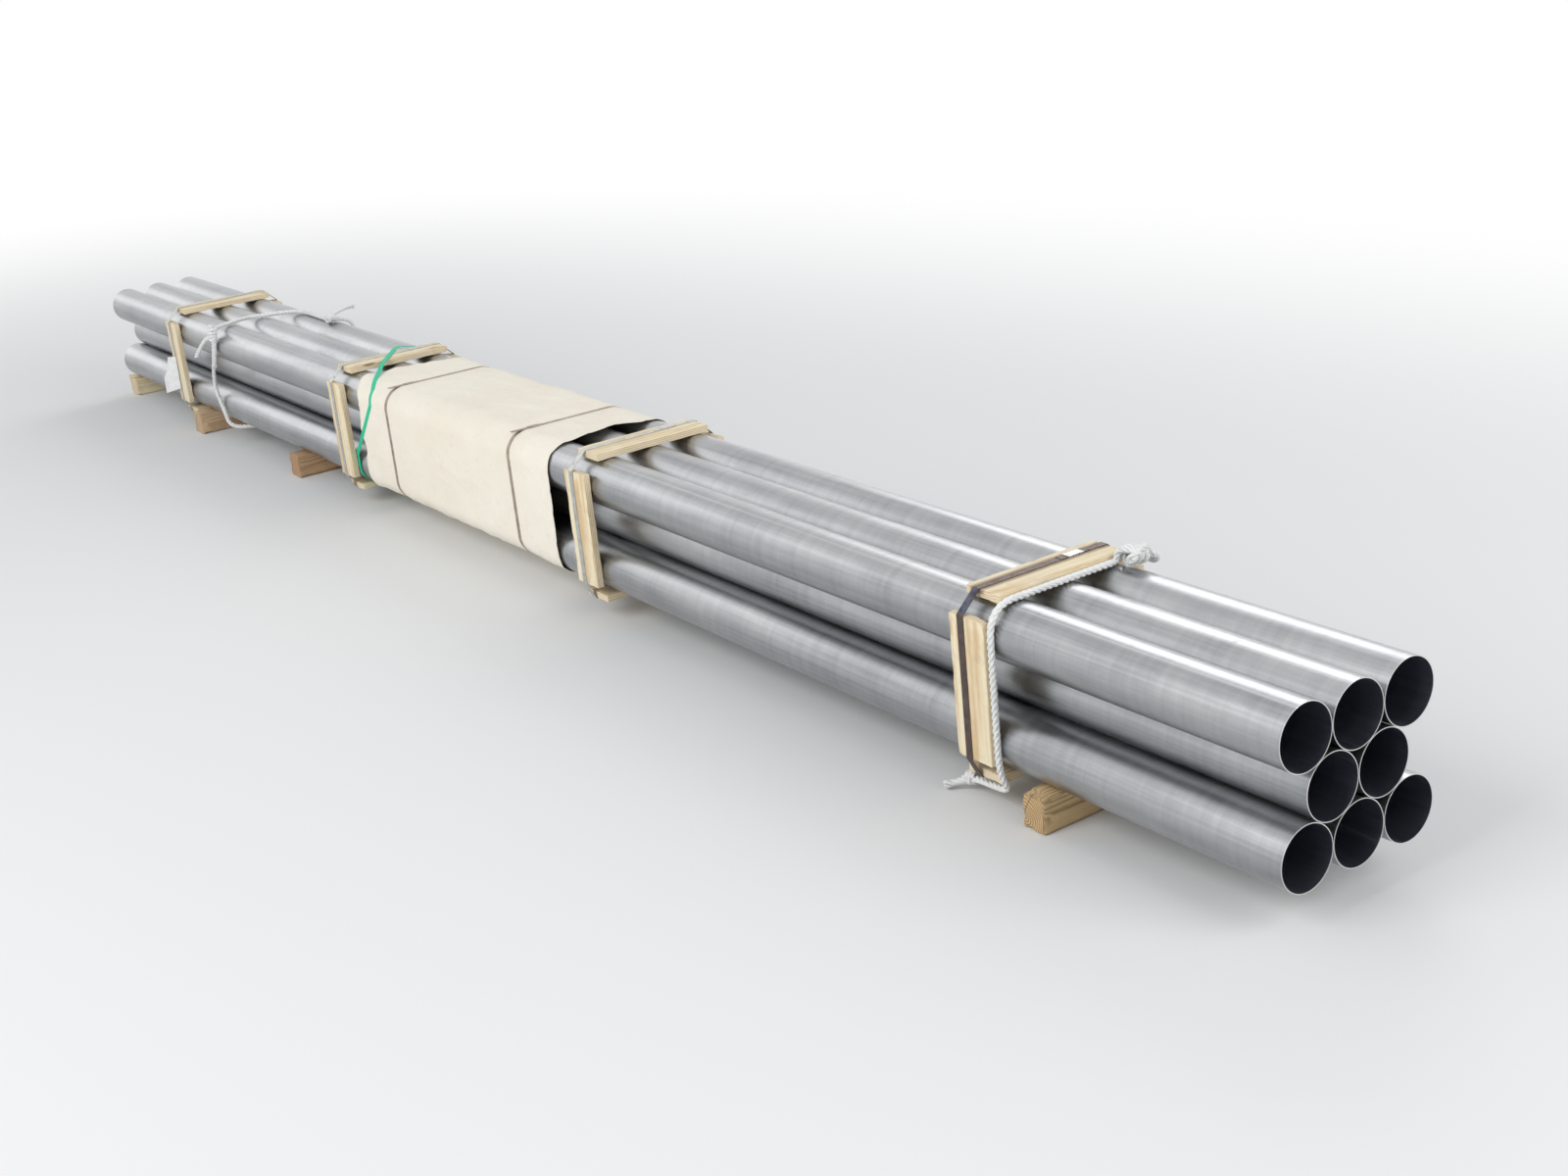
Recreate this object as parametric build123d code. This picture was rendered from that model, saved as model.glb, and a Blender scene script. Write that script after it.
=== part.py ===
from build123d import *
from math import cos, radians, sin, sqrt, tan
import os

# Bundle of eight thin-walled steel pipes, stacked three, two, three. Four frames of rough boards and
# steel strapping hold it, a band of kraft paper covers the middle, and it lies on four timbers.
# Millimetres. +X runs along the pipes to the end with the view, +Y to the back, +Z up.
# The origin is on the floor, half way along the pipes and half way across the pile.

# pipes
pipe_diameter = 127.0
pipe_wall = 1.65
pipe_length = 6096.0
pipe_gap = 0.3
seat_gap = 0.3

# boards of a frame
board_width = 100.0
board_thickness = 19.0
top_board_length = 330.0
bottom_board_length = 376.0
side_board_length = 300.0
frame_count = 4
frame_spacing = pipe_length / frame_count

# steel strapping round a frame
strap_width = 19.0
strap_thickness = 1.0
strap_off_centre = -15.0
seal_length = 40.0
seal_wall = 1.0
seal_place = 82.0
strap_lap = 18.0

# paper wrap and its two straps
wrap_width = 1219.0
wrap_thickness = 1.2
wrap_centre = -40.0
wrap_strap_width = 16.0
wrap_strap_thickness = 0.8
wrap_strap_places = (wrap_centre + 406.0, wrap_centre - 377.0)
wrap_seal_length = 30.0
wrap_seal_inset = 22.0
wrap_strap_tail = 46.0

# green plastic strap, drawn aside at the front shoulder and dragged over a frame at the back
green_width = 16.0
green_thickness = 0.8
green_gap = 6.0
green_pull = 166.0
green_pull_on_top = 98.0
green_drag = -182.0
green_turn = 40.0

# ropes and tag
rope_diameter = 15.0
rope_sides = 12
rope_slack = 0.5
rope_skew_ease = 8.5
tag_thickness = 1.0

# timbers under the bundle
timber_height = 76.0

# the pile: centres of the pipes across the bundle
radius = pipe_diameter / 2
bore_radius = radius - pipe_wall
pitch = pipe_diameter + pipe_gap
row_rise = pitch * sqrt(3) / 2
bottom_row = timber_height + seat_gap + radius
middle_row = bottom_row + row_rise
top_row = bottom_row + 2 * row_rise
pile = {
    "pipe_bottom_front": (-pitch, bottom_row),
    "pipe_bottom_centre": (0, bottom_row),
    "pipe_bottom_back": (pitch, bottom_row),
    "pipe_middle_front": (-pitch / 2, middle_row),
    "pipe_middle_back": (pitch / 2, middle_row),
    "pipe_top_front": (-pitch, top_row),
    "pipe_top_centre": (0, top_row),
    "pipe_top_back": (pitch, top_row),
}

# where the boards lie
seat_radius = radius + seat_gap
crown = top_row + seat_radius
belly = bottom_row - seat_radius
flank = pitch + seat_radius
pile_middle = (top_row + bottom_row) / 2
frame_places = [frame_spacing * (frame_count - 1) / 2 - frame_spacing * n for n in range(frame_count)]

os.makedirs("parts", exist_ok=True)


def save(shape, node):
    """Write one named piece."""
    shape.label = node
    export_step(shape, f"parts/{node}.step")


def block(x_low, x_high, y_low, y_high, z_low, z_high):
    """A sawn block between two corners."""
    size = (x_high - x_low, y_high - y_low, z_high - z_low)
    middle = ((x_high + x_low) / 2, (y_high + y_low) / 2, (z_high + z_low) / 2)
    return Pos(*middle) * Box(*size)


def across(place):
    """A sketch plane square to the pipes: its own x runs along +Y and its own y up."""
    return Plane(origin=(place, 0, 0), x_dir=(0, 1, 0), z_dir=(1, 0, 0))


def taut_outline(stand_off):
    """The line that a tight band follows round the whole pile, this far off the pipes."""
    corner = radius + stand_off
    width = 2 * (pitch + corner)
    height = top_row - bottom_row + 2 * corner
    return Pos(0, pile_middle) * RectangleRounded(width, height, corner)


def taut_band(stand_off, thickness, x_low, x_high):
    """A closed band drawn tight round the pile."""
    ring = taut_outline(stand_off + thickness) - taut_outline(stand_off)
    return extrude(across(x_low) * ring, amount=x_high - x_low)


def pipe(centre):
    """One straight length of welded tube, cut square at both ends."""
    ring = Circle(radius) - Circle(bore_radius)
    return extrude(across(-pipe_length / 2) * Pos(*centre) * ring, amount=pipe_length)


for node, centre in pile.items():
    save(pipe(centre), node)


# Each frame has a board on every side of the pile. The boards stop short of the corners.
def frame_boards(place):
    """The four boards of one frame, keyed by where they lie."""
    low = place - board_width / 2
    high = place + board_width / 2
    half_top = top_board_length / 2
    half_bottom = bottom_board_length / 2
    half_side = side_board_length / 2
    return {
        "top_board": block(low, high, -half_top, half_top, crown, crown + board_thickness),
        "bottom_board": block(low, high, -half_bottom, half_bottom, belly - board_thickness, belly),
        "front_board": block(
            low, high, -flank - board_thickness, -flank, pile_middle - half_side, pile_middle + half_side
        ),
        "back_board": block(
            low, high, flank, flank + board_thickness, pile_middle - half_side, pile_middle + half_side
        ),
    }


def strap_outline():
    """The eight-sided line of a frame strap: along each board, and straight from board to board."""
    half_top = top_board_length / 2
    half_bottom = bottom_board_length / 2
    half_side = side_board_length / 2
    side = flank + board_thickness
    top = crown + board_thickness
    bottom = belly - board_thickness
    upper = pile_middle + half_side
    lower = pile_middle - half_side
    corners = [
        (-half_top, top),
        (half_top, top),
        (side, upper),
        (side, lower),
        (half_bottom, bottom),
        (-half_bottom, bottom),
        (-side, lower),
        (-side, upper),
    ]
    return make_face(Polyline(*corners, close=True))


def frame_strap(place):
    """Steel strap pulled tight over the four boards of one frame, its ends lapped at the seal."""
    inner = strap_outline()
    ring = offset(inner, strap_thickness, kind=Kind.ARC) - inner
    low = place + strap_off_centre - strap_width / 2
    half_lap = seal_length / 2 + strap_lap
    top = crown + board_thickness + strap_thickness
    lap = block(
        low, low + strap_width, seal_place - half_lap, seal_place + half_lap, top, top + strap_thickness
    )
    return extrude(across(low) * ring, amount=strap_width) + lap


def crimped_seal(length, width, strap):
    """A folded steel seal over a strap, lying on z = 0 along Y, with a crimp notch in each side."""
    inside = width + 2 * 0.2
    outside = inside + 2 * seal_wall
    height = strap + 0.2 + seal_wall
    body = block(-outside / 2, outside / 2, -length / 2, length / 2, 0, height)
    tunnel = block(-inside / 2, inside / 2, -length, length, -1, height - seal_wall)
    notches = [
        Pos(side * outside / 2, along, 0) * Cylinder(1.4, 4 * height)
        for side in (-1, 1)
        for along in (-length / 5, length / 5)
    ]
    return body - tunnel - notches


for number, place in enumerate(frame_places, 1):
    for name, board in frame_boards(place).items():
        save(board, f"{name}_{number}")
    save(frame_strap(place), f"frame_strap_{number}")
    seal = crimped_seal(seal_length, strap_width, 2 * strap_thickness)
    save(Pos(place + strap_off_centre, seal_place, crown + board_thickness) * seal, f"strap_seal_{number}")


# The paper goes tight round the pile, bridging the hollows between the pipes.
wrap_low = wrap_centre - wrap_width / 2
wrap_high = wrap_centre + wrap_width / 2
save(taut_band(seat_gap, wrap_thickness, wrap_low, wrap_high), "paper_wrap")

# Two steel straps hold it. The outer end of each laps the other under the seal and sticks out
# past the shoulder of the pile.
wrap_outside = seat_gap + wrap_thickness
wrap_crown = top_row + radius + wrap_outside
wrap_seal_place = -pitch + wrap_seal_inset
for number, place in enumerate(wrap_strap_places, 1):
    low = place - wrap_strap_width / 2
    high = place + wrap_strap_width / 2
    band = taut_band(wrap_outside, wrap_strap_thickness, low, high)
    lap_low = wrap_crown + wrap_strap_thickness
    lap = block(
        low,
        high,
        -pitch - wrap_strap_tail,
        wrap_seal_place + wrap_seal_length,
        lap_low,
        lap_low + wrap_strap_thickness,
    )
    save(band + lap, f"wrap_strap_{number}")
    seal = crimped_seal(wrap_seal_length, wrap_strap_width, 2 * wrap_strap_thickness)
    save(Pos(place, wrap_seal_place, wrap_crown) * seal, f"wrap_strap_seal_{number}")


def ribbon(points, width):
    """A flat strip of even width along a bent line of points."""
    return trace(Polyline(*points), line_width=width)


# The green strap lies by the third frame. It is drawn aside at the front shoulder, crosses the
# top board of the frame on a slant, comes down behind it and slants back under the bottom board.
green_home = frame_places[2] + board_width / 2 + green_gap + green_width / 2
green_pulled = green_home + green_pull
green_dragged = green_home + green_drag
green_low = green_dragged - green_width
green_high = green_pulled + 2 * green_width
above = 2 * crown
over_frame = crown + board_thickness + strap_thickness + seat_gap
under_frame = belly - board_thickness - strap_thickness - seat_gap
over_board = Line((-66, over_frame), (46, over_frame))
under_board = Line((-128, under_frame), (52, under_frame))
green_inside = make_hull([*taut_outline(wrap_outside).edges(), over_board, under_board])
green_outline = offset(green_inside, green_thickness, kind=Kind.ARC) - green_inside
green_ring = extrude(across(green_low) * green_outline, amount=green_high - green_low)
front_line = [
    (green_home, 0),
    (green_home, bottom_row + green_turn),
    (green_pulled, top_row),
    (green_pulled, above),
]
front_strip = make_face(Plane.XZ * ribbon(front_line, green_width).face().outer_wire())
front_cut = extrude(Pos(0, -pitch, 0) * front_strip, amount=2 * radius) & block(
    green_low, green_high, -2 * flank, -pitch, bottom_row, top_row
)
top_line = [
    (green_pulled, -2 * flank),
    (green_pulled, -flank + 15),
    (green_home + green_pull_on_top, -pitch),
    (green_dragged, pitch / 2 + 12),
    (green_dragged, 2 * flank),
]
top_strip = make_face(ribbon(top_line, green_width).face().outer_wire())
top_cut = extrude(top_strip, amount=above) & block(
    green_low, green_high, -2 * flank, 2 * flank, top_row, above
)
under_line = [
    (green_home, -2 * flank),
    (green_home, -pitch),
    (green_dragged, pitch),
    (green_dragged, 2 * flank),
]
under_strip = make_face(ribbon(under_line, green_width).face().outer_wire())
under_cut = extrude(under_strip, amount=bottom_row)
back_cut = block(
    green_dragged - green_width / 2,
    green_dragged + green_width / 2,
    pitch,
    2 * flank,
    bottom_row,
    top_row,
)
save(green_ring & (front_cut + top_cut + back_cut + under_cut), "green_strap")


def rope_bends(route, tight):
    """The radius of each bend: the given one where it is tight, else as large as the runs allow."""
    radii = []
    for corner in range(1, len(route) - 1):
        before = Vector(*route[corner]) - Vector(*route[corner - 1])
        after = Vector(*route[corner + 1]) - Vector(*route[corner])
        half_turn = radians(before.get_angle(after)) / 2
        easy = 0.45 * min(before.length, after.length) / tan(half_turn)
        radii.append(tight.get(corner, easy))
    return radii


def rope(route, radii, diameter):
    """A rope along straight runs and even bends."""
    line = FilletPolyline(*route, radius=radii)
    start = Plane(origin=line @ 0, z_dir=line % 0)
    section = start * RegularPolygon(diameter / 2, rope_sides)
    return sweep(section, path=line), line.length


def knot(length, width, height):
    """The outer shape of a pulled-tight knot."""
    body = Box(length, width, height)
    return chamfer(body.edges(), height / 4)


# The near rope is tied at the back of the first top board and runs down the front of the frame,
# and its end lies on the floor.
rope_stand_off = radius + seat_gap + rope_diameter / 2
rope_lane = frame_places[0] + board_width / 2 + rope_diameter / 2 + seat_gap
rope_top = top_row + rope_stand_off
rope_front = -pitch - rope_stand_off
rope_under = belly - board_thickness - seat_gap - rope_diameter / 2
rope_floor = rope_diameter / 2 + seat_gap
near_knot_start = 120.0
near_route = [
    (rope_lane, near_knot_start, rope_top),
    (rope_lane, rope_front, rope_top),
    (rope_lane, rope_front, 88.0),
    (rope_lane, -160.0, rope_under - 12),
    (rope_lane - 82, -146.0, rope_under - 8),
    (rope_lane - 132, -168.0, 24.0),
    (rope_lane - 168, -204.0, rope_floor),
]
near_radii = rope_bends(near_route, {1: rope_stand_off})
near_rope, near_length = rope(near_route, near_radii, rope_diameter)
save(near_rope, "near_rope")
print("near rope", round(near_length), "mm, bends", [round(r) for r in near_radii])

near_knot_size = (58.0, 88.0, 46.0)
near_knot_place = (
    rope_lane + (near_knot_size[0] - rope_diameter) / 2,
    near_knot_start + near_knot_size[1] / 2,
    crown + near_knot_size[2] / 2 + seat_gap,
)
save(Pos(*near_knot_place) * knot(*near_knot_size), "near_rope_knot")

# The far rope goes right round the pile between the last two frames. It bows aside on the front,
# crosses underneath on a slant and is tied twice: at the front shoulder and on the back pipe's crown.
far_place = frame_places[3] + 446.0
far_stand_off = rope_stand_off + rope_slack
far_top = top_row + far_stand_off
far_side = pitch + far_stand_off
far_under = bottom_row - far_stand_off
far_tie = far_place + 300.0
far_route = [
    (far_tie - 5, pitch - 9, far_top),
    (far_place + 8, pitch - 5, far_top),
    (far_place - 65, -50.0, far_top),
    (far_place, -far_side, far_top),
    (far_place - 110, -far_side, 215.0),
    (far_place - 15, -far_side, far_under),
    (far_tie - 20, far_side, far_under),
    (far_tie, far_side, far_top),
    (far_tie, pitch - 9, far_top),
]
tight = {corner: rope_stand_off for corner in (5, 6, 7)}
tight[3] = rope_stand_off - rope_skew_ease
far_radii = rope_bends(far_route, tight)
far_rope, far_length = rope(far_route, far_radii, rope_diameter)
save(far_rope, "far_rope")
print("far rope", round(far_length), "mm, bends", [round(r) for r in far_radii])

# Each of its knots grips the rope, and a short stiff end leaves it.
room = rope(far_route, far_radii, rope_diameter + 2 * seat_gap)[0]
front_knot_off = (radius + 17.0) * sqrt(0.5)
front_knot_place = Vector(far_place, -pitch - front_knot_off, top_row + front_knot_off)
front_tail, front_tail_length = rope(
    [
        tuple(front_knot_place),
        tuple(front_knot_place + Vector(-60, -22, -26)),
        tuple(front_knot_place + Vector(-118, -32, -88)),
    ],
    [60.0],
    rope_diameter,
)
front_knot = Pos(*front_knot_place) * Rot(45, 0, 0) * knot(38, 46, 32) + front_tail - room
save(front_knot, "far_rope_front_knot")

back_knot_place = Vector(far_tie, pitch - 9, crown + 16 + seat_gap)
back_tail, back_tail_length = rope(
    [
        tuple(back_knot_place),
        tuple(back_knot_place + Vector(-14, 62, 16)),
        tuple(back_knot_place + Vector(-24, 106, 8)),
    ],
    [80.0],
    rope_diameter,
)
back_knot = Pos(*back_knot_place) * knot(48, 44, 32) + back_tail - room
save(back_knot, "far_rope_back_knot")
print("far rope's ends", round(front_tail_length), round(back_tail_length), "mm")


# A plastic tag hangs from the strap of the last frame, over the front board, and flares away.
tag_flare = 35.0
tag_edge = frame_places[3] + strap_off_centre + strap_width / 2
tag_root = -flank - board_thickness - strap_thickness - seat_gap - tag_thickness
tag_plane = Plane(
    origin=(tag_edge, tag_root, bottom_row),
    x_dir=(-cos(radians(tag_flare)), -sin(radians(tag_flare)), 0),
    z_dir=(-sin(radians(tag_flare)), cos(radians(tag_flare)), 0),
)
tag_outline = make_face(
    Polyline((4, 10), (72, -8), (70, 52), (50, 80), (36, 128), (0, 131), close=True)
)
save(extrude(tag_plane * tag_outline, amount=tag_thickness), "marker_tag")


def timber(middle, width, front, back, top, wane):
    """A sawn timber across the bundle, with its upper near edge worn or left as it grew."""
    body = block(middle - width / 2, middle + width / 2, front, back, 0, top)
    upper_edges = body.edges().filter_by(Axis.Y).group_by(Axis.Z)[-1]
    return chamfer(upper_edges.sort_by(Axis.X)[-1], wane)


save(timber(frame_places[0] + 154, 62.0, -204.0, 214.0, timber_height, 9.0), "dunnage_1")
save(timber(frame_places[2] - 500, 76.0, -204.0, 221.0, timber_height, 5.0), "dunnage_2")
save(timber(frame_places[3] + 120, 84.0, -218.0, 226.0, timber_height, 4.0), "dunnage_3")
save(timber(-4 - pipe_length / 2, 84.0, -176.0, 208.0, timber_height, 4.0), "dunnage_4")
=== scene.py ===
import math

import bpy
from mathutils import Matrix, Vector, noise


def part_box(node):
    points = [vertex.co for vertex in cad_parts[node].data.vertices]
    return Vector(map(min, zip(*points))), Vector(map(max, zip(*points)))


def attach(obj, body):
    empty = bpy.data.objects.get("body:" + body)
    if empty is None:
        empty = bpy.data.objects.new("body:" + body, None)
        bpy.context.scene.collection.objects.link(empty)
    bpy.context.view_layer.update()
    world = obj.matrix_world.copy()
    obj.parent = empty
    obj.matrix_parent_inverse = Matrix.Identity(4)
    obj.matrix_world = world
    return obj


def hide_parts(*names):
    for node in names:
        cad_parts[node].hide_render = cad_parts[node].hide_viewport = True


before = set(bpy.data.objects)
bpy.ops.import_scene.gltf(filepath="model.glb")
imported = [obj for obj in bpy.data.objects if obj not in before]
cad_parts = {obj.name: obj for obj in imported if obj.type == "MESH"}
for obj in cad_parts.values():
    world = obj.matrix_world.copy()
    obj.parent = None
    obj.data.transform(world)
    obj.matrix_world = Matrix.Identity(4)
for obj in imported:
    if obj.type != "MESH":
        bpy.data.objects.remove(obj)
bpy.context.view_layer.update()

# The camera stands a little above the near end and looks back along the bundle. It is rolled a
# few degrees, as the photo is.
bpy.ops.object.select_all(action="DESELECT")
bpy.ops.object.camera_add(
    location=(5.1096, -2.4314, 1.7803),
    rotation=[math.radians(turn) for turn in (70.161, 5.609, 55.129)],
)
camera = bpy.context.object
camera.name = "camera"
camera.data.lens = 46.5
camera.data.sensor_width = 36
camera.data.clip_end = 200
bpy.context.scene.camera = camera
bpy.context.scene.view_settings.view_transform = "Standard"


# Plain studio: a pale floor that fades to white a few metres away, a soft even sky and four large
# square lamps. The floor keeps the bundle's soft shadow.
class Signal:
    """One output among a material's nodes, with the arithmetic that the materials need."""

    def __init__(self, tree, socket):
        self.tree = tree
        self.socket = socket

    def node(self, kind, settings=None, inputs=None, output=0):
        """Adds a node, with its settings first and then its sockets, and returns one output."""
        made = self.tree.nodes.new(kind)
        for name, value in (settings or {}).items():
            if name == "stops":
                stops = made.color_ramp.elements
                while len(stops) < len(value):
                    stops.new(0.5)
                for stop, (position, colour) in zip(stops, value):
                    stop.position = position
                    stop.color = (*colour, 1)
            else:
                setattr(made, name, value)
        for name, value in (inputs or {}).items():
            if isinstance(value, Signal):
                self.tree.links.new(value.socket, made.inputs[name])
            else:
                made.inputs[name].default_value = value
        return Signal(self.tree, made.outputs[output])

    def math(self, operation, *others):
        """A Math node on this value and the others."""
        values = dict(enumerate((self, *others)))
        return self.node("ShaderNodeMath", {"operation": operation}, values)

    def __add__(self, other):
        return self.math("ADD", other)

    __radd__ = __add__

    def __sub__(self, other):
        return self.math("SUBTRACT", other)

    def __rsub__(self, other):
        return self.node("ShaderNodeMath", {"operation": "SUBTRACT"}, {0: other, 1: self})

    def __mul__(self, other):
        return self.math("MULTIPLY", other)

    def __abs__(self):
        return self.math("ABSOLUTE")

    def part(self, axis):
        """One coordinate of a vector."""
        return self.node("ShaderNodeSeparateXYZ", None, {0: self}, "XYZ".index(axis))

    def stretched(self, scale, shift=(0, 0, 0)):
        """The place, scaled along each axis and then moved."""
        return self.node("ShaderNodeMapping", {"vector_type": "POINT"}, {
            "Vector": self, "Scale": scale, "Location": shift})

    def cloud(self, scale, detail=3.0, roughness=0.5):
        """Soft noise from 0 to 1."""
        return self.node("ShaderNodeTexNoise", None, {
            "Vector": self, "Scale": scale, "Detail": detail, "Roughness": roughness})

    def step(self, low, high):
        """0 below low, 1 above high and smooth between them."""
        return self.node("ShaderNodeMapRange", {"interpolation_type": "SMOOTHSTEP"}, {
            "Value": self, "From Min": low, "From Max": high})

    def tint(self, stops):
        """A colour for each value."""
        return self.node("ShaderNodeValToRGB", {"stops": stops}, {"Fac": self})

    def over(self, base, colour):
        """A colour laid over another where this mask is 1."""
        under, upper = (
            value if isinstance(value, Signal) else (*value, 1) for value in (base, colour))
        return self.node("ShaderNodeMix", {"data_type": "RGBA"}, {0: self, 6: under, 7: upper}, 2)

    def relief(self, height, strength=1.0, below=None):
        """A bump from this signal, with its height in metres, over another bump."""
        inputs = {"Height": self, "Distance": height, "Strength": strength}
        if below:
            inputs["Normal"] = below
        return self.node("ShaderNodeBump", None, inputs)


def new_finish(name, **fixed):
    """A material, its shader with the fixed sockets set, and the place on the piece."""
    made = bpy.data.materials.new(name)
    made.use_nodes = True
    tree = made.node_tree
    shader = tree.nodes["Principled BSDF"]
    for socket, value in fixed.items():
        shader.inputs[socket.replace("_", " ")].default_value = value
    place = Signal(tree, tree.nodes.new("ShaderNodeTexCoord").outputs["Object"])
    return made, shader, place


def lay_on(shader, **varying):
    """Feeds the shader's sockets from signals."""
    for socket, signal in varying.items():
        signal.tree.links.new(signal.socket, shader.inputs[socket.replace("_", " ")])


bpy.ops.mesh.primitive_circle_add(vertices=96, radius=60, fill_type="NGON", location=(0, 0, -0.0004))
floor = bpy.context.object
floor.name = "floor"
floor_paint, floor_shader, place = new_finish(
    "floor_paint", Base_Color=(0.8, 0.8, 0.79, 1), Roughness=0.9)
far_off = place.node("ShaderNodeVectorMath", {"operation": "LENGTH"}, {
    0: place.stretched((0.55, 1, 0))}, 1)
white = place.node("ShaderNodeEmission", None, {"Color": (1, 1, 1, 1), "Strength": 1.0})
faded = place.node("ShaderNodeMixShader", None, {
    0: far_off.step(1.2, 5.0), 1: Signal(place.tree, floor_shader.outputs[0]), 2: white})
place.tree.links.new(faded.socket, place.tree.nodes["Material Output"].inputs["Surface"])
floor.data.materials.append(floor_paint)

world = bpy.data.worlds.new("studio")
world.use_nodes = True
bpy.context.scene.world = world
studio = world.node_tree
sky = studio.nodes["Background"]
sky.inputs["Color"].default_value = (0.86, 0.9, 0.96, 1)
sky.inputs["Strength"].default_value = 0.45
rays = studio.nodes.new("ShaderNodeLightPath")
camera_ray, glossy_ray, clear_ray = (
    Signal(studio, rays.outputs[f"Is {kind} Ray"]) for kind in ("Camera", "Glossy", "Transmission"))
backdrop = camera_ray.node("ShaderNodeBackground", None, {"Color": (1, 1, 1, 1), "Strength": 1.0})
shown = camera_ray.node("ShaderNodeMixShader", None, {
    0: camera_ray.math("MAXIMUM", glossy_ray).math("MAXIMUM", clear_ray),
    1: Signal(studio, sky.outputs[0]),
    2: backdrop,
})
studio.links.new(shown.socket, studio.nodes["World Output"].inputs["Surface"])

for name, at, size, power in (
    ("key_lamp", (1.5, -6.5, 5.0), 5.0, 340),
    ("fill_lamp", (7.5, 1.5, 4.0), 4.0, 190),
    ("back_lamp", (-3.0, 5.5, 5.0), 4.0, 130),
    ("end_lamp", (-15.0, -5.0, 6.5), 8.0, 190),
):
    bpy.ops.object.light_add(type="AREA", location=at)
    lamp = bpy.context.object
    lamp.name = name
    lamp.data.size = size
    lamp.data.energy = power
    lamp.rotation_euler = (Vector((0, 0, 0.2)) - Vector(at)).to_track_quat("-Z", "Y").to_euler()


# Ropes: three strands of white fibre, each of twisted yarn, laid up together. One is knotted at the
# near frame and hangs down the front to the floor. The other is tied round the pile near the far
# end, with a knot at each side.
rope_diameter = 0.015
strand_radius = 0.00385
strand_sides = 10
lay_length = 0.043

rope_fibre, rope_shader, place = new_finish("rope_fibre", Roughness=0.85, Sheen_Weight=0.25)
along = place.node("ShaderNodeUVMap", {"uv_map": "lay"})
yarn = (along.part("Y") * 40 + along.part("X") * 900).math("SINE")
dirt = place.cloud(38, 4, 0.6).step(0.5, 0.72)
smudge = place.cloud(9, 3).step(0.45, 0.75)
# Painted shade: the yarn pattern is coloured darker in its grooves, for the shade that falls in them.
fibre = (yarn * 0.5 + 0.5).tint([(0, (0.80, 0.80, 0.78)), (0.6, (0.94, 0.94, 0.92))])
lay_on(
    rope_shader,
    Base_Color=(smudge * 0.2).over((dirt * 0.25).over(fibre, (0.5, 0.47, 0.41)), (0.62, 0.6, 0.55)),
    Normal=yarn.relief(0.0004, 0.8, place.cloud(900, 2).relief(0.0003, 0.5)),
)


def route_points(route, spacing=0.0025):
    """Points at even spacing along the smooth line of a route."""
    curve = bpy.data.curves.new("route", "CURVE")
    curve.dimensions = "3D"
    spline = curve.splines.new("NURBS")
    spline.points.add(len(route) - 1)
    for point, at in zip(spline.points, route):
        point.co = (*at, 1)
    spline.order_u = 3
    spline.use_endpoint_u = True
    spline.resolution_u = 24
    holder = bpy.data.objects.new("route", curve)
    line = bpy.data.meshes.new_from_object(holder)
    found = [vertex.co.copy() for vertex in line.vertices]
    bpy.data.objects.remove(holder)
    bpy.data.meshes.remove(line)
    even = [found[0]]
    gone = 0.0
    for before, after in zip(found, found[1:]):
        run = (after - before).length
        while gone + run >= spacing:
            before = before.lerp(after, (spacing - gone) / run)
            run = (after - before).length
            gone = 0.0
            even.append(before.copy())
        gone += run
    even.append(found[-1])
    return even


def directions(line):
    """The way that a line of points runs at each of its points."""
    behind = [line[0], *line[:-1]]
    ahead = [*line[1:], line[-1]]
    return [(after - before).normalized() for before, after in zip(behind, ahead)]


def laid_rope(name, line, diameter=rope_diameter, tapered=0):
    """A rope of three strands that wind round a line of points. The last points may splay."""
    radius = strand_radius * diameter / rope_diameter
    tangents = directions(line)
    side = tangents[0].orthogonal().normalized()
    sides = []
    for tangent in tangents:
        side = (side - tangent * side.dot(tangent)).normalized()
        sides.append(side.copy())
    travelled = [0.0]
    for before, after in zip(line, line[1:]):
        travelled.append(travelled[-1] + (after - before).length)
    vertices, faces, lay = [], [], []
    for strand in range(3):
        centres, outward = [], []
        for index, point in enumerate(line):
            turn = 2 * math.pi * (travelled[index] / lay_length + strand / 3)
            other = tangents[index].cross(sides[index])
            away = sides[index] * math.cos(turn) + other * math.sin(turn)
            splay = max(0, index - (len(line) - 1 - tapered)) / max(tapered, 1)
            reach = (diameter / 2 - radius) * (1 + 0.7 * splay)
            centres.append(point + away * reach)
            outward.append(away)
        first = len(vertices)
        for centre, tangent, away in zip(centres, directions(centres), outward):
            up = (away - tangent * away.dot(tangent)).normalized()
            across = tangent.cross(up)
            for corner in range(strand_sides):
                angle = 2 * math.pi * corner / strand_sides
                vertices.append(centre + (up * math.cos(angle) + across * math.sin(angle)) * radius)
        for index in range(len(centres) - 1):
            near, far = travelled[index], travelled[index + 1]
            ring = first + index * strand_sides
            for corner in range(strand_sides):
                here = ring + corner
                beside = ring + (corner + 1) % strand_sides
                faces.append((here, beside, beside + strand_sides, here + strand_sides))
                low, high = corner / strand_sides, (corner + 1) / strand_sides
                lay += [(near, low), (near, high), (far, high), (far, low)]
        last = first + (len(centres) - 1) * strand_sides
        for cap in (range(first + strand_sides - 1, first - 1, -1), range(last, last + strand_sides)):
            faces.append(tuple(cap))
            lay += [(0, 0)] * strand_sides
    mesh = bpy.data.meshes.new(name)
    mesh.from_pydata([tuple(vertex) for vertex in vertices], [], faces)
    layer = mesh.uv_layers.new(name="lay")
    for slot, value in zip(layer.data, lay):
        slot.uv = value
    mesh.shade_smooth()
    piece = bpy.data.objects.new(name, mesh)
    bpy.context.collection.objects.link(piece)
    mesh.materials.append(rope_fibre)
    return piece


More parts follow.
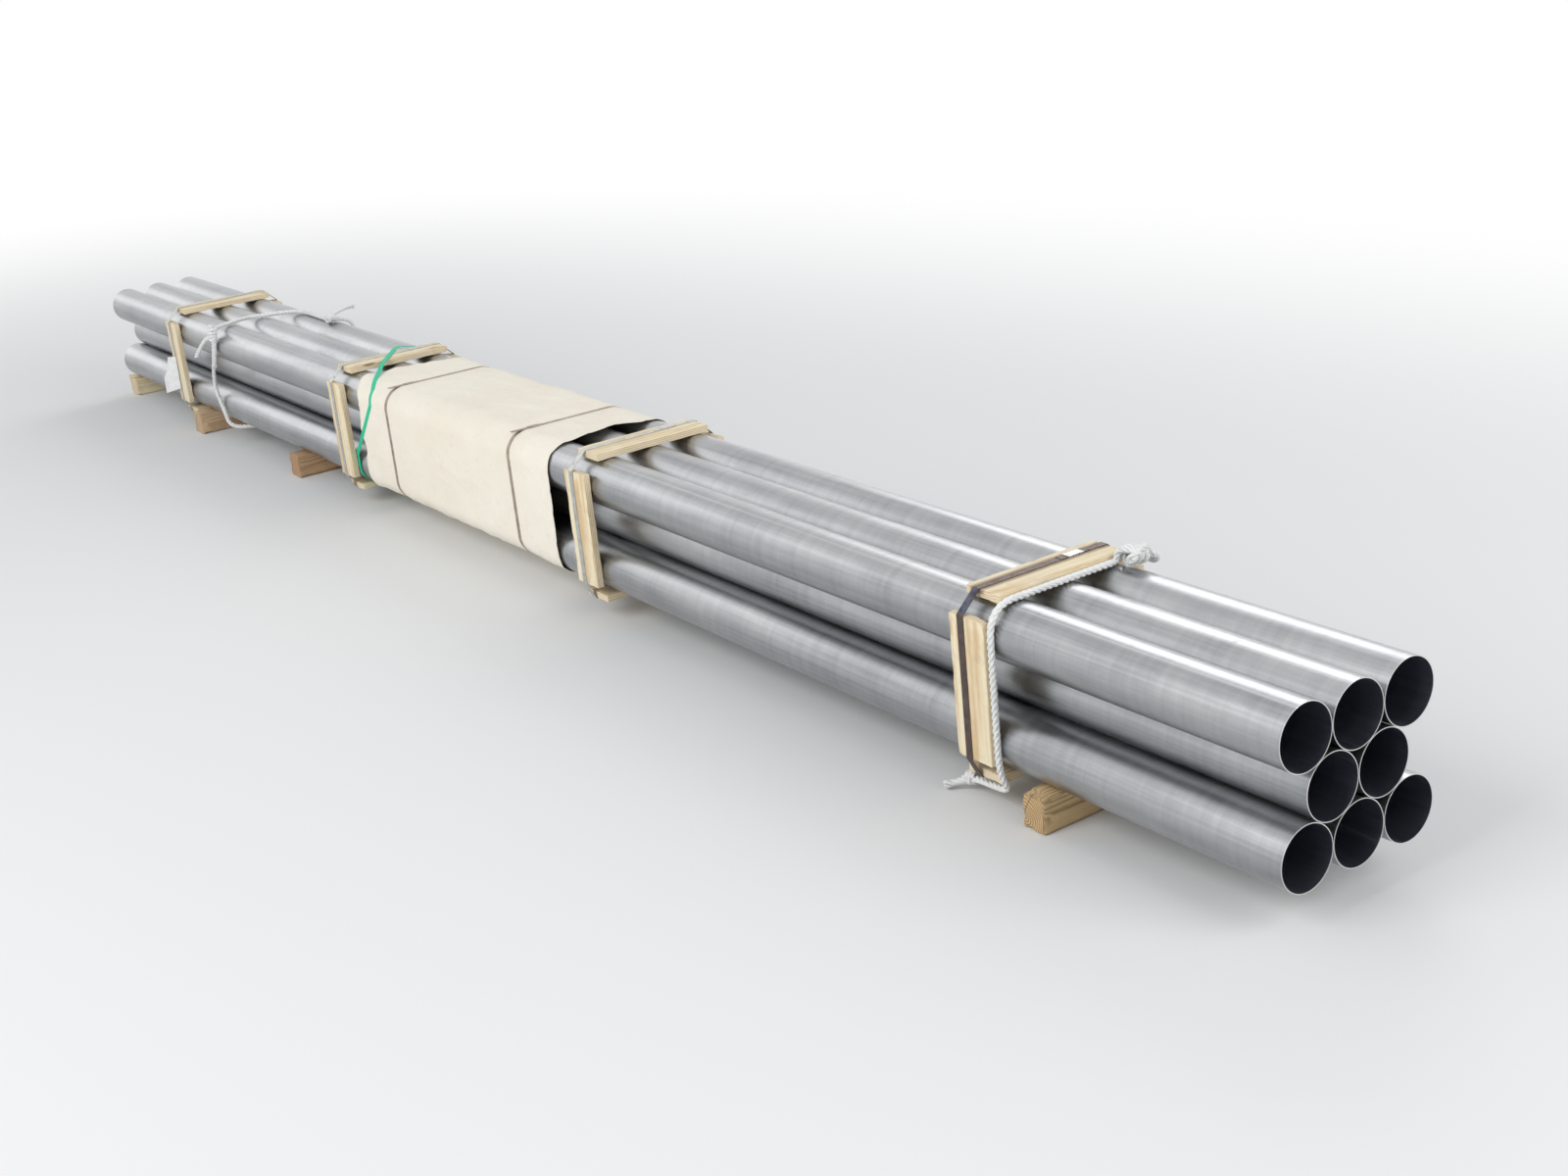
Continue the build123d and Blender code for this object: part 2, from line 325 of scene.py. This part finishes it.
def belongs(piece, slot, *nodes):
    """The piece rides on the bundle and stands for these nodes."""
    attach(piece, "root")
    if nodes:
        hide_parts(*nodes)


def loose_end(name, route, diameter=rope_diameter):
    """A frayed length of rope that comes out of a knot."""
    belongs(laid_rope(name, route_points(route), diameter, tapered=8), "rope_fibre")


# Pulled tight in a knot, the rope is a little thinner.
knot_rope = 0.0125
knot_margin = 0.0063
steps_a_turn = 8


def wound_knot(name, centre, axis, out, size, turns, *nodes):
    """A knot of close turns round its own end. Its size is its width, its length and its depth."""
    axis, out = Vector(axis).normalized(), Vector(out).normalized()
    side = axis.cross(out)
    wide, long, deep = (extent / 2 - knot_margin for extent in size)
    steps = turns * steps_a_turn
    line = []
    for step in range(steps + 1):
        turn = 2 * math.pi * step / steps_a_turn
        along = long * (2 * step / steps - 1)
        loose = 1 + 0.10 * math.sin(1.7 * step)
        line.append(Vector(centre) + axis * along + side * (wide * loose * math.sin(turn)) + out * (
            deep * loose * math.cos(turn)))
    for along, aside, away in ((0.8, 0.35, 0.2), (0.2, -0.1, -0.1), (-0.5, 0.1, 0.1), (-1.1, 0.3, 0.4)):
        line.append(Vector(centre) + axis * (along * long) + side * (aside * wide) + out * (away * deep))
    knot = laid_rope(name, route_points(line), knot_rope)
    belongs(knot, "rope_fibre", *nodes)
    return knot


# The near rope runs from its knot over the pile, down the front, under the bottom board and out on
# the floor, with a small knot under the board.
near_route = [
    (2.3438, 0.120, 0.4316),
    (2.3438, 0.03, 0.4322),
    (2.3438, -0.07, 0.4316),
    (2.3438, -0.1986, 0.4316),
    (2.3445, -0.1990, 0.30),
    (2.3436, -0.1990, 0.16),
    (2.3438, -0.1986, 0.088),
    (2.3438, -0.1740, 0.0400),
    (2.2698, -0.1700, 0.0340),
    (2.2118, -0.1660, 0.0265),
    (2.1758, -0.2040, 0.0098),
]
near_line = route_points(near_route)
near_rope = laid_rope("rope_near", near_line, tapered=8)
belongs(near_rope, "rope_fibre", "near_rope")
near_length = sum((after - before).length for before, after in zip(near_line, near_line[1:]))

# Its knot is three loose turns that slope down over the pile's back shoulder, and one big loop
# back over them. All its places are in millimetres from the rope's first point.
coil_steps = 27
coil_width = 17
coil_height = 14.5
knot_turns = [(0, 0, 0), (1, 6, 1)]
for step in range(coil_steps):
    turn = 2 * math.pi * step / steps_a_turn
    loose = 1 + 0.16 * math.sin(2.3 * step)
    aside = -coil_width * math.cos(turn) * loose
    rise = coil_height * math.sin(turn) * loose
    behind = 12 + 1.75 * step + 0.30 * aside
    knot_turns.append((21 + aside, behind, 15 + rise - 0.3 * max(0, behind - 28)))
knot_turns += [
    (38, 63, 16), (44, 75, 5), (34, 83, -8), (17, 82, -12), (6, 75, 1), (14, 69, 17),
    (34, 54, 28), (44, 35, 29), (45, 18, 24), (43, 7, 14),
]
near_knot = laid_rope("rope_near_knot", route_points([
    [start + offset / 1000 for start, offset in zip(near_route[0], offsets)]
    for offsets in knot_turns
]), diameter=0.0148, tapered=6)
belongs(near_knot, "rope_fibre", "near_rope_knot")
low_knot = wound_knot(
    "rope_near_low_knot", (2.2150, -0.1660, 0.0275), (0.95, 0.1, 0.25), (0, -0.8, 0.6),
    (0.036, 0.034, 0.034), 3)

# The far rope runs from its back knot along the pile, over the top, down the front and back
# underneath. Its ends stick out of its knots, and one lies doubled below the front knot.
far_route = [
    (-1.545, 0.1183, 0.4321),
    (-1.68, 0.1240, 0.4323),
    (-1.832, 0.1223, 0.4321),
    (-1.875, 0.02, 0.4323),
    (-1.905, -0.05, 0.4323),
    (-1.868, -0.13, 0.4323),
    (-1.84, -0.1991, 0.4321),
    (-1.868, -0.1993, 0.36),
    (-1.952, -0.1995, 0.215),
    (-1.89, -0.1993, 0.13),
    (-1.855, -0.1991, 0.068),
    (-1.80, -0.12, 0.0675),
    (-1.62, 0.11, 0.0675),
    (-1.56, 0.1991, 0.068),
    (-1.556, 0.1994, 0.14),
    (-1.548, 0.1994, 0.34),
    (-1.54, 0.1991, 0.4321),
    (-1.54, 0.1183, 0.4326),
]
belongs(laid_rope("rope_far", route_points(far_route)), "rope_fibre", "far_rope")
wound_knot(
    "rope_far_front_knot", (-1.846, -0.2000, 0.4150), (-0.2, -0.12, -1), (0, -1, 0.12),
    (0.037, 0.062, 0.034), 4, "far_rope_front_knot")
loose_end("rope_far_front_strand", [
    (-1.836, -0.2015, 0.4000),
    (-1.850, -0.2005, 0.3700),
    (-1.866, -0.2000, 0.3400),
    (-1.886, -0.2000, 0.3020),
    (-1.896, -0.2000, 0.2860),
], diameter=0.0140)
loose_end("rope_far_front_end", [
    (-1.844, -0.1930, 0.4080),
    (-1.884, -0.2110, 0.3980),
    (-1.936, -0.2260, 0.3570),
    (-1.972, -0.2340, 0.3200),
])
wound_knot(
    "rope_far_back_knot", (-1.54, 0.1183, 0.4412), (-0.25, 1, 0.1), (0, 0, 1),
    (0.044, 0.044, 0.032), 3, "far_rope_back_knot")
loose_end("rope_far_back_end", [
    (-1.545, 0.1300, 0.4480),
    (-1.549, 0.1600, 0.4590),
    (-1.556, 0.1930, 0.4620),
    (-1.560, 0.2180, 0.4615),
])


# Eight lengths of thin-walled stainless tube, welded along their length and cut square. The mill
# finish is satin, with fine marks across it, long draw lines and a little yard dust.
pipe_radius = 0.0635
half_length = 3.048
seam_turns = (2.4, -0.6, 1.2, -2.2, 0.4, 2.9, -1.5, 1.9)


def mill_steel(number, middle_y, middle_z, seam_turn):
    """Satin steel for one pipe, with its pattern round the pipe's own axis."""
    steel, shader, place = new_finish(f"pipe_steel_{number + 1}", Metallic=1.0)
    local = place.stretched((1, 1, 1), (0, -middle_y, -middle_z))
    aside, up = local.part("Y"), local.part("Z")
    reach = (aside * aside + up * up).math("SQRT")
    angle = up.math("ARCTAN2", aside)
    bore = 1 - reach.step(pipe_radius - 0.0013, pipe_radius - 0.0004)
    cut_end = abs(local.part("X")).step(half_length - 0.0008, half_length - 0.0003)
    brushed = local.stretched((42, 3.5, 3.5), (number, 0, 0)).cloud(1, 6, 0.72)
    drawn = local.stretched((0.7, 150, 150), (number * 3, 0, 0)).cloud(1, 4, 0.7)
    blotch = local.stretched((2.2, 9, 9), (number * 5, 0, 0)).cloud(1, 5, 0.6)
    handled = local.stretched((3, 14, 14), (number * 7, 2, 0)).cloud(1, 3).step(0.52, 0.7)
    scratch = 1 - abs(local.stretched((7, 60, 60), (0, number, 4)).cloud(1, 2) - 0.5).step(0.002, 0.006)
    scratch = scratch * handled
    seam = 1 - abs(angle - seam_turn).step(0.02, 0.06)
    heat = seam * bore
    dust = place.cloud(55, 5, 0.7).step(0.55, 0.8) * place.cloud(2.3, 2).step(0.45, 0.62)
    colour = (blotch * 0.45 + drawn * 0.30 + brushed * 0.25).tint([
        (0.34, (0.26, 0.27, 0.29)), (0.64, (0.49, 0.495, 0.50))])
    colour = (seam * 0.35).over(colour, (0.64, 0.63, 0.61))
    colour = (dust * 0.22).over(colour, (0.42, 0.37, 0.30))
    colour = (heat * 0.6).over(colour, (0.30, 0.25, 0.22))
    # Painted shade and painted sky reflection: the bore is coloured dark blue-grey for the shade inside
    # the pipe and the sky it reflects.
    colour = (bore * 0.7).over(colour, (0.22, 0.25, 0.33))
    # The cut ends are coloured bright, partly as fresh-cut metal and partly as a painted highlight on
    # the rims.
    colour = cut_end.over(colour, (0.74, 0.74, 0.73))
    rough = 0.14 + blotch * 0.14 + drawn * 0.11 + brushed * 0.10
    rough = rough + handled * 0.06 + scratch * 0.15 + dust * 0.2 + seam * 0.06 + bore * 0.06
    lay_on(
        shader,
        Base_Color=colour,
        Roughness=rough,
        Normal=brushed.relief(0.00003, 0.4, drawn.relief(0.00006, 0.5, (
            heat + scratch * -0.2).relief(0.0006, 0.9))),
    )
    return steel


def dress(node, finish):
    """Gives a CAD piece its finish."""
    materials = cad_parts[node].data.materials
    materials.clear()
    materials.append(finish)


def middle(node):
    """The middle of a CAD piece's box."""
    return [(low + high) / 2 for low, high in zip(*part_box(node))]


for number, node in enumerate(sorted(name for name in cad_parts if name.startswith("pipe_"))):
    dress(node, mill_steel(number, *middle(node)[1:], seam_turns[number]))


# Rough boards of pale softwood, one on each side of the pile at each frame. They are sawn on every
# face, with worn edges, growth rings along the face, small knots and open end grain. The strap has
# stained the near frame's top board.
def timber_finish(name, axis, pale, dark, worn, saw=0.5, rings=1250, pith=None):
    """Sawn wood whose grain runs along this axis, with its growth rings round the pith."""
    wood, shader, place = new_finish(name, Specular_IOR_Level=0.25)
    grain = [0.07 if letter == axis else 1.0 for letter in "XYZ"]
    sway = place.stretched([share * 14 for share in grain]).cloud(1, 3, 0.5)
    aside = place.part("X") + sway * 0.02
    inward = place.part("Z" if axis == "Y" else "Y") + sway * 0.02
    # A timber has its pith inside it, and a board is cut well away from it.
    aside = aside - pith[0] if pith else aside.math("PINGPONG", 0.062) - 0.02
    inward = inward - (pith[1] if pith else 0.11)
    distance = (aside * aside + inward * inward).math("SQRT")
    wave = (distance * rings).math("SINE") * 0.5 + 0.5
    ring = wave.math("POWER", 1.6)
    fine = place.stretched([share * 420 for share in grain]).cloud(1, 3, 0.65)
    patch = place.cloud(7, 4, 0.55)
    knot_place = place.stretched([4.6 if share < 1 else 15 for share in grain])
    spot = knot_place.node("ShaderNodeTexVoronoi", {"feature": "F1"}, {
        "Vector": knot_place, "Scale": 1.0, "Randomness": 1.0}, 0)
    knot = 1 - spot.step(0.07, 0.13)
    halo = 1 - spot.step(0.1, 0.3)
    facing = place.node("ShaderNodeNewGeometry", None, None, 1)
    end = abs(facing.part(axis)).step(0.75, 0.95)
    saw_line = (place.part(axis) * 2100 + place.part("X") * 240 + sway * 3).math("SINE") * 0.5 + 0.5
    grime = place.cloud(24, 5, 0.65).step(0.5, 0.75)
    colour = (ring * 0.6 + fine * 0.4).tint([(0.15, pale), (0.8, dark)])
    colour = (patch.step(0.42, 0.7) * 0.5).over(colour, worn)
    colour = (halo * 0.35).over(colour, dark)
    colour = (knot * 0.85).over(colour, (0.22, 0.12, 0.06))
    colour = (grime * 0.25).over(colour, (0.35, 0.29, 0.22))
    end_colour = (wave * 0.7 + fine * 0.3).tint([(0.2, worn), (0.9, dark)])
    if pith:
        split = 1 - abs(aside - inward * 0.4 + sway * 0.01).step(0.0006, 0.0020)
        end_colour = (split * 0.8).over(end_colour, (0.16, 0.10, 0.06))
    colour = end.over(colour, end_colour)
    stain = 1 - (abs(place.part("X") - middle("frame_strap_1")[0]) + grime * 0.004).step(0.014, 0.025)
    stain = stain * place.part("Z").step(0.430, 0.436)
    colour = (stain * 0.75).over(colour, (0.24, 0.15, 0.09))
    lay_on(
        shader,
        Base_Color=colour,
        Roughness=0.72 + fine * 0.2,
        Normal=(saw_line * saw * (1 - end)).relief(0.0006, 0.5, (
            ring * 0.4 + fine * 0.8 + knot * 0.5).relief(0.0009, 0.8)),
    )
    return wood


def rough_board(name, node, finish, seed, wear=0.0012, cuts=22):
    """A sawn board in a CAD piece's place, with softened, uneven edges."""
    bpy.ops.object.select_all(action="DESELECT")
    centre = middle(node)
    size = [high - low for low, high in zip(*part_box(node))]
    bpy.ops.mesh.primitive_cube_add(size=1, location=centre)
    board = bpy.context.object
    board.name = name
    board.scale = size
    bpy.ops.object.transform_apply(location=True, rotation=True, scale=True)
    bpy.ops.object.mode_set(mode="EDIT")
    bpy.ops.mesh.select_mode(type="EDGE")
    bpy.ops.mesh.select_all(action="SELECT")
    bpy.ops.mesh.subdivide(number_cuts=cuts)
    bpy.ops.mesh.select_all(action="DESELECT")
    bpy.ops.mesh.edges_select_sharp(sharpness=math.radians(60))
    bpy.ops.mesh.bevel(offset=wear * 1.3, segments=2, profile=0.6)
    bpy.ops.object.mode_set(mode="OBJECT")
    long_axis = size.index(max(size))
    for vertex in board.data.vertices:
        at = vertex.co.copy()
        spread = [abs(at[axis] - centre[axis]) / (size[axis] / 2) for axis in range(3)]
        rough = noise.noise(at * 60 + Vector((seed, 0, 0))) * 0.35
        chip = noise.noise(at * 34 + Vector((0, seed, 0)))
        shift = wear * (rough * 0.5 + 0.35)
        if sum(share > 0.9 for share in spread) >= 2:
            shift += wear * max(0, chip) * 2.2
        new = at + (Vector(centre) - at).normalized() * shift
        for axis in range(3):
            if axis != long_axis:
                new[axis] = at[axis] + (centre[axis] - at[axis]) * min(0.4, 2 * shift / size[axis])
        if spread[long_axis] > 0.99:
            new[long_axis] -= math.copysign(wear * (0.6 + chip), at[long_axis] - centre[long_axis])
        vertex.co = new
    board.data.shade_smooth()
    bpy.ops.object.shade_smooth_by_angle(angle=math.radians(40))
    board.data.materials.append(finish)
    return board


board_tints = ((0.89, 0.79, 0.57), (0.70, 0.51, 0.29), (0.86, 0.77, 0.59))
crosswise_wood = timber_finish("board_wood_across", "Y", *board_tints)
upright_wood = timber_finish("board_wood_upright", "Z", *board_tints)
for number in range(1, 5):
    for side in ("top", "bottom", "front", "back"):
        node = f"{side}_board_{number}"
        grain = crosswise_wood if side in ("top", "bottom") else upright_wood
        board = rough_board(f"frame_{node}", node, grain, number * 7.3 + len(side))
        belongs(board, "board_wood", node)


# Steel strapping round each frame, grey with bloom at all but the near frame. At the near frame it is
# painted dark brown as painted shade, with more rust, and its free spans over the pile's shoulders
# carry a painted blue sky reflection. It is waxed strip with rolled edges, its lapped ends gripped in
# a notched seal.
strap_paint, shader, place = new_finish("frame_strap_paint", Metallic=0.75)
near_frame = place.part("X").step(1.5, 1.6)
bloom = place.cloud(48, 5, 0.65)
rust = place.cloud(85, 4, 0.7).step(0.5, 0.66)
rolled = place.stretched((900, 30, 30)).cloud(1, 2)
surface = bloom * 0.8 + rolled * 0.2
grey = surface.tint([(0.3, (0.36, 0.37, 0.35)), (0.7, (0.62, 0.63, 0.60))])
# Painted shade: the near frame's strap is dark brown for the shade on it. Painted reflection: its free
# spans are dark blue for the sky they reflect.
brown = surface.tint([(0.32, (0.06, 0.045, 0.04)), (0.75, (0.17, 0.13, 0.12))])
painted_sky_reflection = bloom.tint([(0.35, (0.03, 0.038, 0.065)), (0.7, (0.13, 0.15, 0.20))])
free_span = abs(place.part("Y")).step(0.160, 0.170) * place.part("Z").step(0.398, 0.402)
colour = near_frame.over(grey, brown)
colour = (near_frame * free_span * 0.9).over(colour, painted_sky_reflection)
colour = (rust * (0.20 + near_frame * 0.40)).over(colour, (0.22, 0.11, 0.05))
lay_on(
    shader,
    Base_Color=colour,
    Roughness=0.38 + bloom * 0.2 + rust * 0.25,
    Normal=rolled.relief(0.00005, 0.5, rust.relief(0.0002, 0.5)),
)
seal_steel, shader, place = new_finish("seal_steel", Metallic=0.9)
dull = place.cloud(120, 4, 0.6)
lay_on(
    shader,
    Base_Color=dull.tint([(0.3, (0.36, 0.38, 0.40)), (0.7, (0.62, 0.64, 0.66))]),
    Roughness=0.3 + dull * 0.25,
    Normal=dull.relief(0.00015, 0.5),
)
for number in range(1, 5):
    dress(f"frame_strap_{number}", strap_paint)
    dress(f"strap_seal_{number}", seal_steel)


# Creped kraft paper round the middle of the pile, one wide strip lapped on itself underneath. It
# bridges the hollows between the pipes, puffs up between its straps and lifts at its near edge.
wrap_low, wrap_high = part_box("paper_wrap")
strap_lanes = [middle(f"wrap_strap_{number}")[0] for number in (1, 2)]
pile_low, pile_high = (
    [round(value, 4) for value in middle(node)[1:]] for node in ("pipe_bottom_front", "pipe_top_back"))
paper_lift = 0.0009
paper_corner = pipe_radius + paper_lift
girth = 2 * (pile_high[0] - pile_low[0] + pile_high[1] - pile_low[1]) + 2 * math.pi * paper_corner
lap = 0.07
lap_start = 0.04
columns, rows = 170, 240
pile_sides = (
    (pile_low, (pile_high[0], pile_low[1]), (0, -1)),
    ((pile_high[0], pile_low[1]), pile_high, (1, 0)),
    (pile_high, (pile_low[0], pile_high[1]), (0, 1)),
    ((pile_low[0], pile_high[1]), pile_low, (-1, 0)),
)


def outline_place(turn):
    """The point this far along the paper's line round the pile (0 to 1), and the way outwards."""
    bend = math.pi / 2 * paper_corner
    left = turn % 1 * girth
    for start, end, away in pile_sides:
        run = math.dist(start, end)
        ahead = ((end[0] - start[0]) / run, (end[1] - start[1]) / run)
        if left <= run:
            at = (start[0] + ahead[0] * left, start[1] + ahead[1] * left)
            return (at[0] + away[0] * paper_corner, at[1] + away[1] * paper_corner), away
        left -= run
        if left <= bend:
            turned = left / bend * math.pi / 2
            out = (
                away[0] * math.cos(turned) + ahead[0] * math.sin(turned),
                away[1] * math.cos(turned) + ahead[1] * math.sin(turned),
            )
            return (end[0] + out[0] * paper_corner, end[1] + out[1] * paper_corner), out
        left -= bend
    return (pile_low[0], pile_low[1] - paper_corner), (0, -1)


def green_line(y, z):
    """Where the green strap crosses the paper, at this place on the pile's outline."""
    # It runs straight up the lower front and then slants towards the near end.
    if z < 0.1798:
        return -0.698
    if z < 0.3603:
        return -0.698 + 0.166 * (z - 0.1798) / 0.1805
    # It turns over the shoulder and slants back across the top to the third frame.
    if y < -0.176:
        return -0.532
    if y < -0.1273:
        return -0.532 - 0.068 * (y + 0.176) / 0.0487
    return -0.600 - 1.38 * (y + 0.1273)


def paper_edges(y, z, turn, on_front, on_top):
    """Where the far and near edges of the paper lie, at this place on the pile's outline."""
    # At the front the far edge has a flap above a notch, and on top it slants to the back.
    flap = max(0, 1 - abs(z - 0.272) / 0.06) - 0.9 * max(0, 1 - abs(z - 0.200) / 0.04)
    far_edge = wrap_low[0] + 0.034 - 0.007 * on_front + 0.012 * max(0, z - 0.27) / 0.09 * on_front
    far_edge -= 0.016 * flap * on_front + (0.034 - 0.27 * max(0, y + 0.105)) * on_top
    # The near edge is a little ragged, and reaches further at the front and on top.
    ragged = noise.noise(Vector((turn * 9, 3, 0)))
    near_edge = wrap_high[0] + 0.022 * max(on_front, on_top) + 0.005 * ragged
    return far_edge, near_edge


def paper_rise(x, y, z, turn, away, edges):
    """How far the paper puffs, creases and lifts off its tight line. It lies flat at the straps."""
    from_strap = min(abs(x - lane) for lane in strap_lanes)
    from_strap = min(from_strap, 0.8 * abs(x - green_line(y, z)))
    free = min(1, max(0, (from_strap - 0.012) / 0.05))
    soft = free * free * (3 - 2 * free)
    # Broad puffs, creases that slant across the top, sharp ridges and gathers beside the straps.
    puff = noise.noise(Vector((x * 5, turn * 6, 1.7))) * 0.5 + 0.5
    crease = noise.noise(Vector((x * 16 + y * 9, turn * 30, 5.1)))
    slanting = noise.noise(Vector((x * 11 - y * 16, y * 14 + x * 5, 8.8)))
    crease += 1.6 * max(0, slanting) * max(0, away[1])
    ridge = (1 - abs(noise.noise(Vector((x * 5 + turn * 6, turn * 11 - x * 4, 4.4))))) ** 9
    ridge += 0.8 * (1 - abs(noise.noise(Vector((x * 9 - turn * 14, turn * 16 + x * 6, 0.4))))) ** 12
    fine = noise.noise(Vector((x * 55, turn * 90, 2.2)))
    gather = noise.noise(Vector((x * 8, turn * 60, 9.4)))
    # Both free edges stand off the pile, the near one in an arch on top.
    far_gap = max(0, 1 - (x - edges[0]) / 0.06)
    near_gap = max(0, 1 - (edges[1] - x) / 0.15)
    peak = (y + 0.118) / 0.136 if y < 0.018 else 1 - (y - 0.018) / 0.080
    arch = max(0, peak) if away == (0, 1) else 0
    rise = soft * (0.0030 * puff + 0.0017 * crease + 0.0022 * ridge + 0.0004 * fine) + 0.0002
    rise += 0.0007 * max(0, gather) * (1 - soft) * max(0, (from_strap - 0.009) / 0.03)
    rise += near_gap ** 2 * (0.0112 * arch + 0.0006 + 0.0012 * puff)
    rise += soft * far_gap ** 2 * (0.001 + 0.0025 * puff)
    return rise


vertices, faces = [], []
for row in range(rows + 1):
    turn = row / rows * (1 + lap) + lap_start
    (y, z), away = outline_place(turn)
    edges = paper_edges(y, z, turn, max(0, -away[0]), max(0, away[1]))
    under_lap = paper_lift if turn > 1 + lap_start else 0
    for column in range(columns + 1):
        x = edges[0] + (edges[1] - edges[0]) * column / columns
        rise = paper_rise(x, y, z, turn, away, edges) + under_lap
        vertices.append((x, y + away[0] * rise, z + away[1] * rise))
for row in range(rows):
    for column in range(columns):
        here = row * (columns + 1) + column
        above = here + columns + 1
        faces.append((here, here + 1, above + 1, above))
mesh = bpy.data.meshes.new("kraft_wrap")
mesh.from_pydata(vertices, [], faces)
mesh.shade_smooth()
wrap = bpy.data.objects.new("kraft_wrap", mesh)
bpy.context.collection.objects.link(wrap)
bpy.ops.object.select_all(action="DESELECT")
bpy.context.view_layer.objects.active = wrap
wrap.select_set(True)
thick = wrap.modifiers.new("paper", "SOLIDIFY")
thick.thickness = 0.0005
thick.offset = -1
bpy.ops.object.modifier_apply(modifier="paper")
kraft, shader, place = new_finish("kraft_paper", Roughness=0.8, Specular_IOR_Level=0.3)
crepe = place.stretched((900, 120, 120)).cloud(1, 3, 0.6)
pulp = place.cloud(140, 5, 0.7)
patch = place.cloud(3.4, 4, 0.55)
fold_line = 1 - abs(place.stretched((9, 5, 5)).cloud(1, 2) - 0.5).step(0.0, 0.010)
fold_line = fold_line * place.stretched((3, 3, 3), (2, 0, 0)).cloud(1, 2).step(0.5, 0.62)
scuff = place.cloud(26, 5, 0.7).step(0.56, 0.74)
colour = (pulp * 0.35 + patch * 0.65).tint([(0.3, (0.85, 0.78, 0.65)), (0.7, (0.93, 0.88, 0.77))])
colour = (scuff * 0.24).over(colour, (0.64, 0.52, 0.38))
# Painted shade: the fold lines are coloured darker tan for the shade in the creases.
colour = (fold_line * 0.14).over(colour, (0.66, 0.55, 0.40))
lay_on(
    shader,
    Base_Color=colour,
    Normal=crepe.relief(0.0005, 0.5, (fold_line * 0.5 + pulp * 0.3).relief(0.0012, 0.5)),
)
mesh.materials.append(kraft)
belongs(wrap, "kraft_paper", "paper_wrap")
girth * (1 + lap)


# Two narrower steel straps hold the paper, of thin strip with worn brown paint. Each is crimped in
# a small seal, and its outer end sticks out past the shoulder.
wrap_strap_paint, shader, place = new_finish("wrap_strap_paint", Metallic=0.35)
worn = place.cloud(60, 5, 0.65)
lay_on(
    shader,
    Base_Color=worn.tint([
        (0.3, (0.23, 0.18, 0.13)), (0.6, (0.40, 0.33, 0.26)), (0.8, (0.54, 0.47, 0.39))]),
    Roughness=0.35 + worn * 0.3,
    Normal=place.stretched((700, 40, 40)).cloud(1, 2).relief(0.00005, 0.5),
)
for number in (1, 2):
    dress(f"wrap_strap_{number}", wrap_strap_paint)
    dress(f"wrap_strap_seal_{number}", wrap_strap_paint)


# Green plastic strapping beside the third frame, pulled tight over the paper and the top board. It
# is embossed with a fine waffle and a little scuffed.
green_plastic, shader, place = new_finish("green_plastic", Specular_IOR_Level=0.3)
scuffed = place.cloud(70, 4, 0.6)
waffle = (place.part("X") * 2600).math("SINE") * (
    (place.part("Z") + place.part("Y")) * 2600).math("SINE")
lay_on(
    shader,
    Base_Color=scuffed.tint([(0.3, (0.0, 0.46, 0.24)), (0.7, (0.0, 0.61, 0.35))]),
    Roughness=0.35 + scuffed * 0.25,
    Normal=waffle.relief(0.0002, 0.6),
)
dress("green_strap", green_plastic)


# A blank tag of soft white plastic sheet, grubby and a little buckled. It hangs from the far frame's
# strap, over the front board, and flares away.
tag_plastic, shader, place = new_finish("tag_plastic")
grubby = place.cloud(45, 5, 0.6)
lay_on(
    shader,
    Base_Color=grubby.tint([(0.3, (0.78, 0.78, 0.76)), (0.65, (0.90, 0.90, 0.89))]),
    Roughness=0.35 + grubby * 0.25,
    Normal=place.cloud(30, 3).relief(0.0012, 0.4),
)
dress("marker_tag", tag_plastic)


# Four odd timbers carry the bundle, laid across under the pile and held by its weight alone. They
# are rough sawn, split at the ends and all of different wood.
timber_woods = (
    ("weathered_timber", (0.76, 0.55, 0.29), (0.32, 0.18, 0.07), (0.64, 0.48, 0.27), 1000),
    ("brown_timber", (0.62, 0.41, 0.23), (0.36, 0.20, 0.10), (0.52, 0.35, 0.21), 1100),
    ("brown_timber", (0.68, 0.50, 0.32), (0.48, 0.32, 0.19), (0.62, 0.47, 0.31), 1250),
    ("pale_timber", (0.84, 0.74, 0.50), (0.62, 0.46, 0.26), (0.80, 0.70, 0.50), 1000),
)
for number, (slot_name, pale, dark, worn, rings) in enumerate(timber_woods, 1):
    node = f"dunnage_{number}"
    low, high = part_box(node)
    pith = (low[0] + 0.3 * (high[0] - low[0]), 0.4 * high[2])
    grain = timber_finish(f"timber_wood_{number}", "Y", pale, dark, worn, 0.8, rings, pith)
    timber = rough_board(f"timber_{number}", node, grain, number * 3.1, wear=0.0030, cuts=30)
    belongs(timber, slot_name, node)
